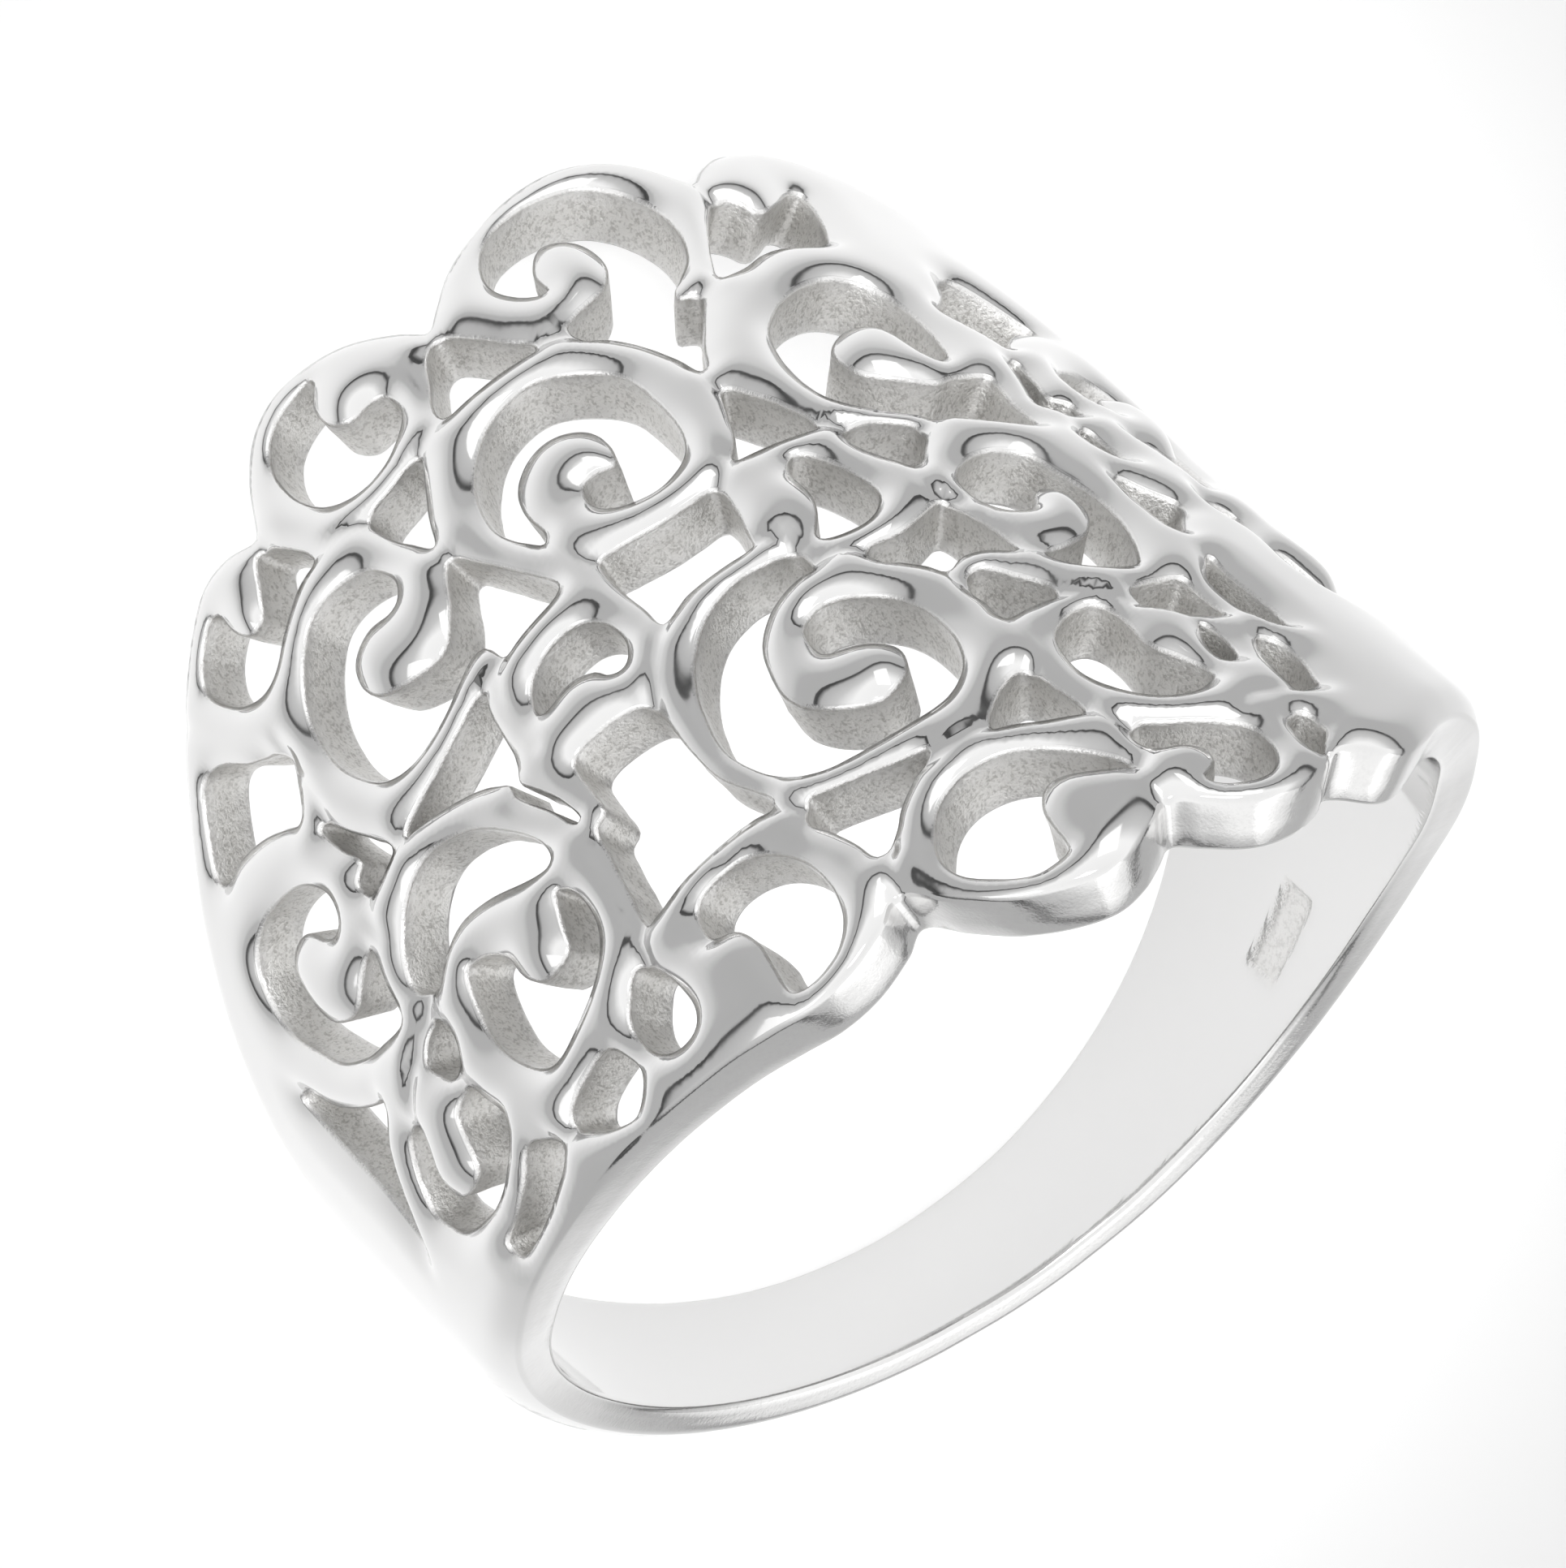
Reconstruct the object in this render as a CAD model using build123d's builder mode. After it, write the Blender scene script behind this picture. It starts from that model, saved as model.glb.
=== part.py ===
from build123d import *
from math import atan2, cos, degrees, radians, sin
import os

# Wide openwork finger ring of scrolls, one casting.
# The ring is drawn about the middle of its outside, Z, with the crown centre on +X,
# and is set down at the end the way it lies on a table: on its side, touching
# along the far crown edge and at the back of the band.

# finger hole, and the wall at the middle of the front and at the back of the band, mm
boreRadius = 8.7
wallFront = 1.4
wallBack = 0.9
outerRadius = boreRadius + (wallFront + wallBack) / 2
# the finger hole sits off the middle of the outside, towards the thinner band
boreShift = (wallBack - wallFront) / 2

# height of the openwork front, far edge to near edge, and where it is split
nearCrown = 11.6
farCrown = 11.1
# band at the back: width and the height of its middle
bandWidth = 2.8
bandMiddle = -1.1

# blank recess pressed into the inside of the band
recessLong = 2.2
recessWide = 0.9
recessDeep = 0.12
recessAt = -122.0
recessHeight = 0.2

# the scroll drawing is charted as (along the outside, along the finger axis) in mm
# for a ring of this outside radius and front height, and stretches with the ring
chartRadius = 10.0
chartHeight = 23.1
heightScale = (nearCrown + farCrown) / chartHeight

# the right shoulder repeats the left one, turned over at this place along the outside
turnOver = 2.3

# openings are cut from this far inside the bore outwards
cutInside = 0.5

# openings inside and between the scrolls of the front
frontWindows = {
    "near scroll": [(0.9, 11.0), (1.8, 10.6), (2.3, 9.7), (1.9, 8.6), (1.0, 8.15), (0.0, 8.3),
                    (-0.9, 9.1), (-1.3, 9.8), (-0.5, 9.45), (0.2, 9.4), (0.55, 9.9), (0.6, 10.6)],
    "near right scroll": [(-2.8, 11.2), (-2.2, 10.8), (-2.6, 10.2), (-2.2, 9.75), (-1.6, 9.75),
                          (-1.7, 9.0), (-2.4, 9.1), (-3.4, 9.6), (-3.7, 10.3), (-3.4, 11.0)],
    "near left scroll": [(5.6, 9.0), (4.9, 9.25), (4.2, 8.8), (3.95, 7.9), (4.2, 6.9), (5.0, 6.1),
                         (5.8, 6.15), (6.0, 6.7), (5.55, 7.3), (5.5, 8.1)],
    "near left eye": [(7.4, 7.65), (7.95, 7.4), (8.15, 6.7), (7.8, 6.0), (7.2, 5.9), (7.0, 6.9)],
    "near left leaf": [(8.7, 7.2), (9.3, 7.4), (9.9, 6.8), (10.4, 5.95), (9.5, 5.85), (8.65, 6.1)],
    "web one": [(3.05, 8.3), (3.3, 7.2), (3.3, 6.4), (2.3, 6.6), (1.2, 7.2), (2.2, 7.9)],
    "web two": [(-1.4, 8.1), (-0.6, 7.9), (0.0, 7.5), (-0.6, 6.8), (-1.2, 6.6), (-1.45, 7.3)],
    "square left": [(3.7, 5.7), (5.2, 5.5), (6.6, 5.4), (6.3, 4.2), (6.0, 3.2), (5.6, 2.6),
                    (5.3, 1.8), (4.1, 2.05), (3.8, 3.0), (3.9, 4.4)],
    "upper scroll": [(0.1, 1.4), (1.2, 1.3), (2.4, 1.8), (3.2, 2.9), (3.55, 4.3), (3.2, 5.6),
                     (2.1, 6.3), (0.6, 6.4), (-0.5, 5.8), (-0.8, 4.6), (-0.4, 3.4), (0.5, 2.95),
                     (1.1, 3.4), (0.7, 4.05), (0.15, 4.6), (0.5, 5.4), (1.3, 5.4), (2.0, 4.6),
                     (2.0, 3.4), (1.3, 2.4), (0.2, 2.0)],
    "lower scroll": [(3.1, -2.4), (3.5, -3.4), (3.0, -4.8), (1.8, -5.6), (0.6, -5.4), (-0.2, -4.3),
                     (-0.1, -2.8), (0.7, -1.8), (1.7, -1.9), (1.8, -2.7), (1.25, -2.8), (1.0, -3.6),
                     (1.6, -4.2), (2.5, -4.0), (2.95, -3.2), (2.9, -2.5)],
    "small left scroll": [(3.6, 1.1), (4.1, 0.75), (4.7, 0.45), (5.3, 0.5), (5.0, -0.2), (4.3, -0.5),
                          (3.5, -0.2), (3.25, 0.5)],
    "small right scroll": [(-1.3, 1.45), (-0.6, 1.45), (-0.85, 0.6), (-0.95, -0.3), (-1.4, -0.75),
                           (-1.85, 0.0), (-1.85, 0.9)],
    "square middle": [(0.7, 0.8), (2.6, 0.95), (2.7, -0.2), (2.6, -1.1), (1.4, -0.9), (0.3, -0.85),
                      (0.45, 0.2)],
    "web three": [(6.4, 0.85), (7.0, 0.2), (7.9, -0.4), (8.5, -0.8), (7.2, -0.85), (5.8, -1.0),
                  (6.0, -0.1)],
    "web four": [(-2.0, -1.4), (-1.2, -1.4), (-0.5, -1.5), (-0.9, -2.5), (-1.3, -3.1), (-1.7, -2.4)],
    "lower left scroll": [(3.5, -1.35), (4.8, -1.25), (5.2, -1.8), (6.2, -1.5), (7.4, -1.45),
                          (8.3, -2.3), (8.5, -3.6), (7.9, -4.9), (6.8, -5.6), (5.7, -5.2),
                          (5.4, -4.4), (5.9, -4.0), (6.6, -4.1), (7.1, -3.5), (6.7, -2.8),
                          (5.7, -2.4), (4.9, -3.0), (4.4, -3.8), (3.9, -2.7)],
    "web five": [(4.45, -4.2), (4.9, -5.2), (4.8, -5.9), (3.5, -5.95), (3.9, -5.0)],
    "far left scroll": [(3.2, -7.0), (4.0, -6.5), (5.0, -6.7), (5.6, -7.7), (5.3, -8.9), (4.6, -9.3),
                        (4.0, -9.2), (4.2, -8.4), (3.7, -7.8), (3.1, -7.6)],
    "web six": [(0.7, -6.4), (1.7, -6.4), (2.7, -6.4), (2.3, -7.4), (1.7, -8.0), (1.1, -7.3)],
    "far leaf": [(6.1, -6.4), (7.3, -5.95), (8.4, -5.6), (9.3, -6.4), (9.3, -7.2), (8.6, -7.6),
                 (8.1, -7.3), (8.0, -6.7), (7.4, -6.7), (6.8, -7.4)],
    "far scroll": [(-1.35, -3.9), (-1.9, -4.8), (-2.4, -5.8), (-2.1, -6.2), (-2.8, -6.9),
                   (-3.3, -8.0), (-3.0, -9.2), (-2.0, -9.85), (-0.7, -9.8), (0.2, -9.0),
                   (0.2, -7.9), (-0.3, -7.6), (-0.6, -8.5), (-1.2, -8.6), (-1.6, -7.8),
                   (-1.1, -7.0), (-0.2, -6.5), (-0.7, -5.4), (-1.1, -4.5)],
    "lower right scroll": [(-6.0, -0.4), (-4.6, -0.6), (-3.3, -1.3), (-2.6, -2.3), (-2.7, -3.8),
                           (-3.7, -5.2), (-5.0, -5.7), (-5.9, -4.9), (-5.9, -3.4), (-5.4, -2.8),
                           (-5.0, -3.7), (-4.4, -3.9), (-3.7, -3.4), (-3.8, -2.5), (-4.8, -1.9),
                           (-6.1, -2.0), (-6.2, -1.2)],
    "web seven": [(-3.0, 0.3), (-2.4, -0.4), (-2.4, -1.1), (-3.3, -1.0), (-3.6, -0.4)],
    "far right scroll": [(-3.3, -6.6), (-3.6, -7.6), (-4.4, -8.6), (-4.9, -8.5), (-5.3, -8.1),
                         (-6.0, -8.7), (-6.5, -8.7), (-6.3, -7.7), (-5.7, -6.9), (-4.5, -6.7)],
    "upper right scroll": [(-3.4, 3.9), (-4.4, 4.6), (-5.3, 3.9), (-5.6, 2.3), (-5.1, 0.9),
                           (-4.1, 0.55), (-3.35, 1.2), (-3.5, 2.2), (-4.1, 2.4), (-4.6, 1.9),
                           (-5.0, 2.4), (-4.7, 3.3)],
    "web eight": [(-2.9, 4.9), (-2.0, 5.1), (-1.8, 4.4), (-2.2, 3.7), (-2.7, 4.2)],
    "web nine": [(-3.0, 3.5), (-2.2, 3.3), (-1.5, 3.2), (-1.0, 2.5), (-1.5, 2.05), (-2.7, 1.7),
                 (-2.95, 2.5)],
    "near right curl": [(-4.0, 8.2), (-3.1, 8.5), (-2.2, 7.8), (-2.1, 6.6), (-2.9, 5.6), (-3.5, 5.9),
                        (-3.5, 7.0), (-3.9, 7.6)],
    "near right eye": [(-4.5, 7.8), (-4.3, 7.1), (-4.7, 6.6), (-5.0, 7.2)],
    "web ten": [(-5.3, 6.3), (-4.3, 6.0), (-4.4, 5.3), (-5.3, 5.1)],
    "near right leaf": [(-5.8, 8.8), (-5.0, 8.9), (-5.3, 7.8), (-5.6, 7.2), (-6.0, 7.9)],
    "right slot": [(-6.6, 6.7), (-6.1, 6.4), (-6.0, 5.3), (-6.5, 4.4), (-6.7, 5.4)],
    "right leaf": [(-6.5, 3.3), (-6.4, 2.3), (-6.5, 1.5), (-7.3, 2.0), (-7.1, 2.7)],
    "right eye": [(-7.5, 0.5), (-7.0, 0.7), (-6.8, 0.1), (-7.2, -0.4)],
}

# openings of the left shoulder, which the right shoulder repeats turned over
shoulderWindows = {
    "near leaf": [(10.85, 5.85), (12.2, 5.75), (13.5, 5.1), (13.3, 4.7), (12.1, 4.85), (11.1, 4.9)],
    "slit": [(9.0, -1.1), (9.9, -1.1), (9.7, -1.8), (9.75, -2.8), (9.3, -2.2)],
    "far leaf": [(9.75, -3.3), (10.6, -4.2), (11.9, -4.9), (11.8, -5.6), (10.7, -6.4), (9.9, -5.7),
                 (9.2, -4.5)],
    "lower hook": [(11.4, 0.7), (12.6, 0.0), (13.5, -1.2), (13.8, -2.7), (13.1, -3.8), (12.0, -3.8),
                   (10.8, -3.0), (10.5, -2.0), (11.1, -1.7), (11.7, -2.6), (12.4, -2.7),
                   (12.7, -1.6), (12.0, -0.7), (10.9, -0.5), (11.0, 0.3)],
    "upper hook": [(11.3, 4.2), (12.4, 4.4), (13.7, 3.9), (14.6, 2.8), (14.6, 1.8), (13.6, 1.3),
                   (13.0, 1.7), (13.6, 2.4), (13.5, 3.2), (12.8, 3.5), (12.1, 2.9), (11.3, 2.9)],
    "web": [(11.1, 2.5), (11.7, 2.2), (11.5, 1.5), (10.7, 1.6), (10.7, 2.1)],
    "long leaf": [(13.3, 0.35), (14.5, 0.75), (15.4, 1.25), (15.7, 1.15), (15.5, 0.0), (15.35, -1.8),
                  (15.15, -2.15), (14.6, -1.5), (14.0, -0.5), (13.4, 0.1)],
}

# openings of the large scroll beside the left shoulder
leftScroll = {
    "inner": [(7.2, 4.3), (8.1, 5.1), (9.4, 5.1), (10.2, 4.2), (10.2, 3.0), (9.5, 2.2), (8.9, 2.9),
              (8.8, 3.7), (8.2, 4.1), (7.6, 3.6), (7.2, 3.3)],
    "outer": [(7.0, 2.7), (8.0, 2.0), (9.0, 1.4), (10.2, 1.6), (10.8, 0.9), (10.0, 0.1), (8.8, -0.1),
              (7.7, 0.5), (7.0, 1.6)],
}


def outline(points):
    # chart points laid on the flat face that touches the ring at the window's middle
    around = [u / chartRadius for u, y in points]
    middle = (min(around) + max(around)) / 2
    flat = [(outerRadius * sin(a - middle), y * heightScale) for a, (u, y) in zip(around, points)]
    return middle, flat


def turned(points):
    return [(turnOver - u, y) for u, y in reversed(points)]


windows = list(frontWindows.values()) + list(leftScroll.values()) + list(shoulderWindows.values())
windows = windows + [turned(points) for points in shoulderWindows.values()]

# heights of the two edges of the ring, seen from the side: along X, then along Z
backNear = bandMiddle + bandWidth / 2
backFar = bandMiddle - bandWidth / 2
nearEdge = [(-1.0, backNear), (-0.8, backNear + 0.05 * nearCrown), (-0.42, 0.19 * nearCrown),
            (-0.03, 0.36 * nearCrown), (0.36, 0.56 * nearCrown), (0.7, 0.78 * nearCrown),
            (0.88, 0.9 * nearCrown), (1.0, nearCrown)]
# the far edge ends in a straight run that lies flat on the table
restSlope = (farCrown + backFar) / (2 * outerRadius)
restStart = 0.9
farEdge = [(restStart, restSlope * (1 - restStart) * outerRadius - farCrown),
           (0.7, -0.83 * farCrown), (0.36, -0.655 * farCrown), (-0.03, -0.52 * farCrown),
           (-0.42, -0.39 * farCrown), (-0.8, backFar - 0.045 * farCrown), (-1.0, backFar)]
nearLine = [(outerRadius * x, z) for x, z in nearEdge]
farLine = [(outerRadius * x, z) for x, z in farEdge]

cutStart = boreRadius + boreShift - cutInside

with BuildPart() as openings:
    for points in windows:
        middle, flat = outline(points)
        out = (cos(middle), sin(middle), 0)
        along = (-sin(middle), cos(middle), 0)
        foot = (cutStart * cos(middle), cutStart * sin(middle), 0)
        with BuildSketch(Plane(origin=foot, x_dir=along, z_dir=out)):
            with BuildLine():
                Spline(*flat, periodic=True)
            make_face()
        extrude(amount=outerRadius + 1 - cutStart)

with BuildPart() as ring:
    # wall of the ring, taller than it ends up
    with BuildSketch():
        Circle(outerRadius)
        with Locations((boreShift, 0)):
            Circle(boreRadius, mode=Mode.SUBTRACT)
    extrude(amount=nearCrown + 1)
    extrude(ring.faces().sort_by(Axis.Z)[0], amount=farCrown + 1)
    # side outline: wide lens-shaped front running down to the narrow band
    with BuildSketch(Plane.XZ):
        with BuildLine():
            Spline(*nearLine)
            Line(nearLine[-1], (outerRadius, -farCrown))
            Line((outerRadius, -farCrown), farLine[0])
            Spline(*farLine)
            Line(farLine[-1], nearLine[0])
        make_face()
    extrude(amount=outerRadius + 1, both=True, mode=Mode.INTERSECT)
    # scroll openings
    add(openings.part, mode=Mode.SUBTRACT)
    # blank recess inside the band
    turn = radians(recessAt)
    inward = Plane(origin=(boreShift, 0, recessHeight), x_dir=(-sin(turn), cos(turn), 0),
                   z_dir=(cos(turn), sin(turn), 0))
    with BuildSketch(inward):
        RectangleRounded(recessLong, recessWide, recessWide / 4)
    extrude(amount=boreRadius + recessDeep, mode=Mode.SUBTRACT)

# set down on the far edge, near edge up, middle of the footprint at the origin
lean = degrees(atan2(restSlope, 1))
laid = ring.part.rotate(Axis.Y, -lean)
box = laid.bounding_box()
centre = (box.min + box.max) * 0.5
with BuildPart() as filigreeRing:
    add(laid.moved(Location((-centre.X, -centre.Y, -box.min.Z))))

filigreeRing.part.label = "filigree_ring"

os.makedirs("parts", exist_ok=True)
export_step(filigreeRing.part, "parts/filigree_ring.step")

print("lean", round(lean, 3), "volume", round(filigreeRing.part.volume, 1),
      "solids", len(filigreeRing.part.solids()), "box", filigreeRing.part.bounding_box())
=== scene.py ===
import math
import bpy
import numpy as np
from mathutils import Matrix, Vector


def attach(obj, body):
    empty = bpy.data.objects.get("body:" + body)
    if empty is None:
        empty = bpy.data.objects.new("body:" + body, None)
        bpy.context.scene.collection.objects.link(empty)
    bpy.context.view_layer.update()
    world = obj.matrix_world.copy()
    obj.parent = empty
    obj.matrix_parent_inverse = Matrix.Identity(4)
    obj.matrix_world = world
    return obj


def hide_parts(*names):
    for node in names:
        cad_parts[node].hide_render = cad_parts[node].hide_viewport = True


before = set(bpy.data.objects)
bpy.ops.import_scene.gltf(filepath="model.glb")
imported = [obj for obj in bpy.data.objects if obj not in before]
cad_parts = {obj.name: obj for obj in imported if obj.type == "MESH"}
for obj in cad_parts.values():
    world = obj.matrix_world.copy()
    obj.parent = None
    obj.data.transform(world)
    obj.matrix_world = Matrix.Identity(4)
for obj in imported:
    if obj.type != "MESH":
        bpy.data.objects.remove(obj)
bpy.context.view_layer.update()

mm = 0.001

# the ring is drawn on a chart wrapped round the finger axis: u runs round the outside
# (mm on a 10 mm radius, 0 at the crown), y runs along the finger axis; pairs are from-to,
# or for bars and for rims
ring = {
    "chartRadius": 10.0,
    "heightScale": 0.98,        # the chart is wrapped a little smaller than drawn
    "along": (-11.2, 12.4),     # the chart's reach along the finger axis
    "step": 0.125,              # mesh spacing on the openwork
    "bandStep": 0.4,            # mesh spacing round the plain band
    "bandFrom": (16.5, 19.5),   # where the spacing widens
    "recessGap": (1.4, 3.0),    # and narrows again round the recess
    "bore": 8.7,
    "boreShift": -0.25,         # the finger hole sits off the middle, towards the thinner band
    "face": 9.76,               # radius of the polished bar tops
    "limit": 9.84,              # nothing stands prouder than this
    "lean": 23.5836,            # degrees, as it lies on the floor
    "shift": (-2.1605, 0.0, 6.232),
    "lip": 0.08,                # width of the rounded lip along each opening
    "shoulder": (0.09, 0.12),   # height of that lip, bars and rims
    "foot": (0.07, 0.09),       # rounding where a wall meets the bore, bars and rims
    "rimReach": 0.2,            # border points this close to a rim belong to it
    "barDrop": 0.27,            # how far a bar top falls towards its edges
    "barEdge": 0.56,
    "headRise": 0.06,           # how much the rounded ends of the scrolls swell
    "wave": 0.012,              # soft unevenness of the bar tops
    "waveCell": 1.3,
    "grooveWide": 0.14,
    "rimDrop": 0.02,            # how far the face falls towards a rim
    "rimEdge": 0.7,
    "backFrom": (13, 21),       # where the openwork fades into the plain band
    "backRimDrop": 0.16,        # what the band adds to the three values above
    "backRimEdge": 0.6,
    "backRise": 0.07,
    "castDepth": 0.035,         # unevenness of the walls left by casting
    "castCells": (0.42, 0.2),   # size of its lumps, coarse and fine
    "castShare": (1.0, 0.1),    # how much of it shows, bars and rims
    "castLook": (1.0, 0.12),    # how much of the cast finish shows, bars and rims
}

# shallow blank recess pressed inside the band
recess = {"u": -21.3, "y": 0.2, "long": 1.05, "wide": 0.42, "slant": 0.16, "deep": 0.11,
          "soft": 0.1, "cast": 0.5}

# near and far edge of the face, left side first, chart mm
nearRim = [(0.5, 11.75), (1.3, 11.5), (2.1, 10.95), (2.8, 10.1), (3.3, 9.35), (3.9, 9.6),
           (4.8, 9.75), (5.7, 9.6), (6.6, 9.15), (7.6, 8.6), (8.8, 8.0), (10.2, 7.3), (12.0, 6.4),
           (14.0, 5.35), (16.0, 4.3), (18.0, 3.2), (20.0, 2.25), (22.5, 1.4), (25.5, 0.75),
           (28.5, 0.4), (31.416, 0.28)]
nearRimRight = [(-28.5, 0.4), (-25.5, 0.75), (-22.5, 1.4), (-20.0, 2.25), (-18.0, 3.2),
                (-16.0, 4.35), (-14.0, 5.5), (-12.0, 6.8), (-10.0, 8.1), (-8.5, 9.2), (-7.3, 10.2),
                (-6.4, 10.85), (-5.8, 11.0), (-5.2, 10.85), (-4.8, 10.85), (-4.3, 11.25),
                (-3.6, 11.6), (-2.9, 11.72), (-2.3, 11.6), (-1.7, 11.25), (-1.25, 10.95),
                (-0.8, 11.25), (-0.2, 11.6)]
farRim = [(-2.0, -10.55), (-1.0, -10.25), (0.0, -9.75), (0.8, -9.2), (1.35, -8.65), (1.75, -8.35),
          (2.2, -8.75), (2.9, -9.3), (3.7, -9.62), (4.5, -9.7), (5.3, -9.4), (5.95, -8.75),
          (6.55, -7.9), (7.2, -8.2), (7.9, -8.33), (8.8, -8.05), (10.0, -7.45), (12.0, -6.4),
          (14.0, -5.5), (16.0, -4.75), (18.0, -4.15), (20.0, -3.65), (22.5, -3.2), (25.5, -2.85),
          (28.5, -2.62), (31.416, -2.55)]
farRimRight = [(-28.5, -2.62), (-25.5, -2.85), (-22.5, -3.2), (-20.0, -3.65), (-18.0, -4.15),
               (-16.0, -4.9), (-14.0, -5.9), (-12.0, -7.2), (-10.2, -8.6), (-8.8, -9.6),
               (-7.6, -10.2), (-6.5, -10.45), (-5.6, -10.25), (-4.9, -9.75), (-4.45, -9.35),
               (-4.0, -9.9), (-3.4, -10.4), (-2.7, -10.6)]

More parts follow.
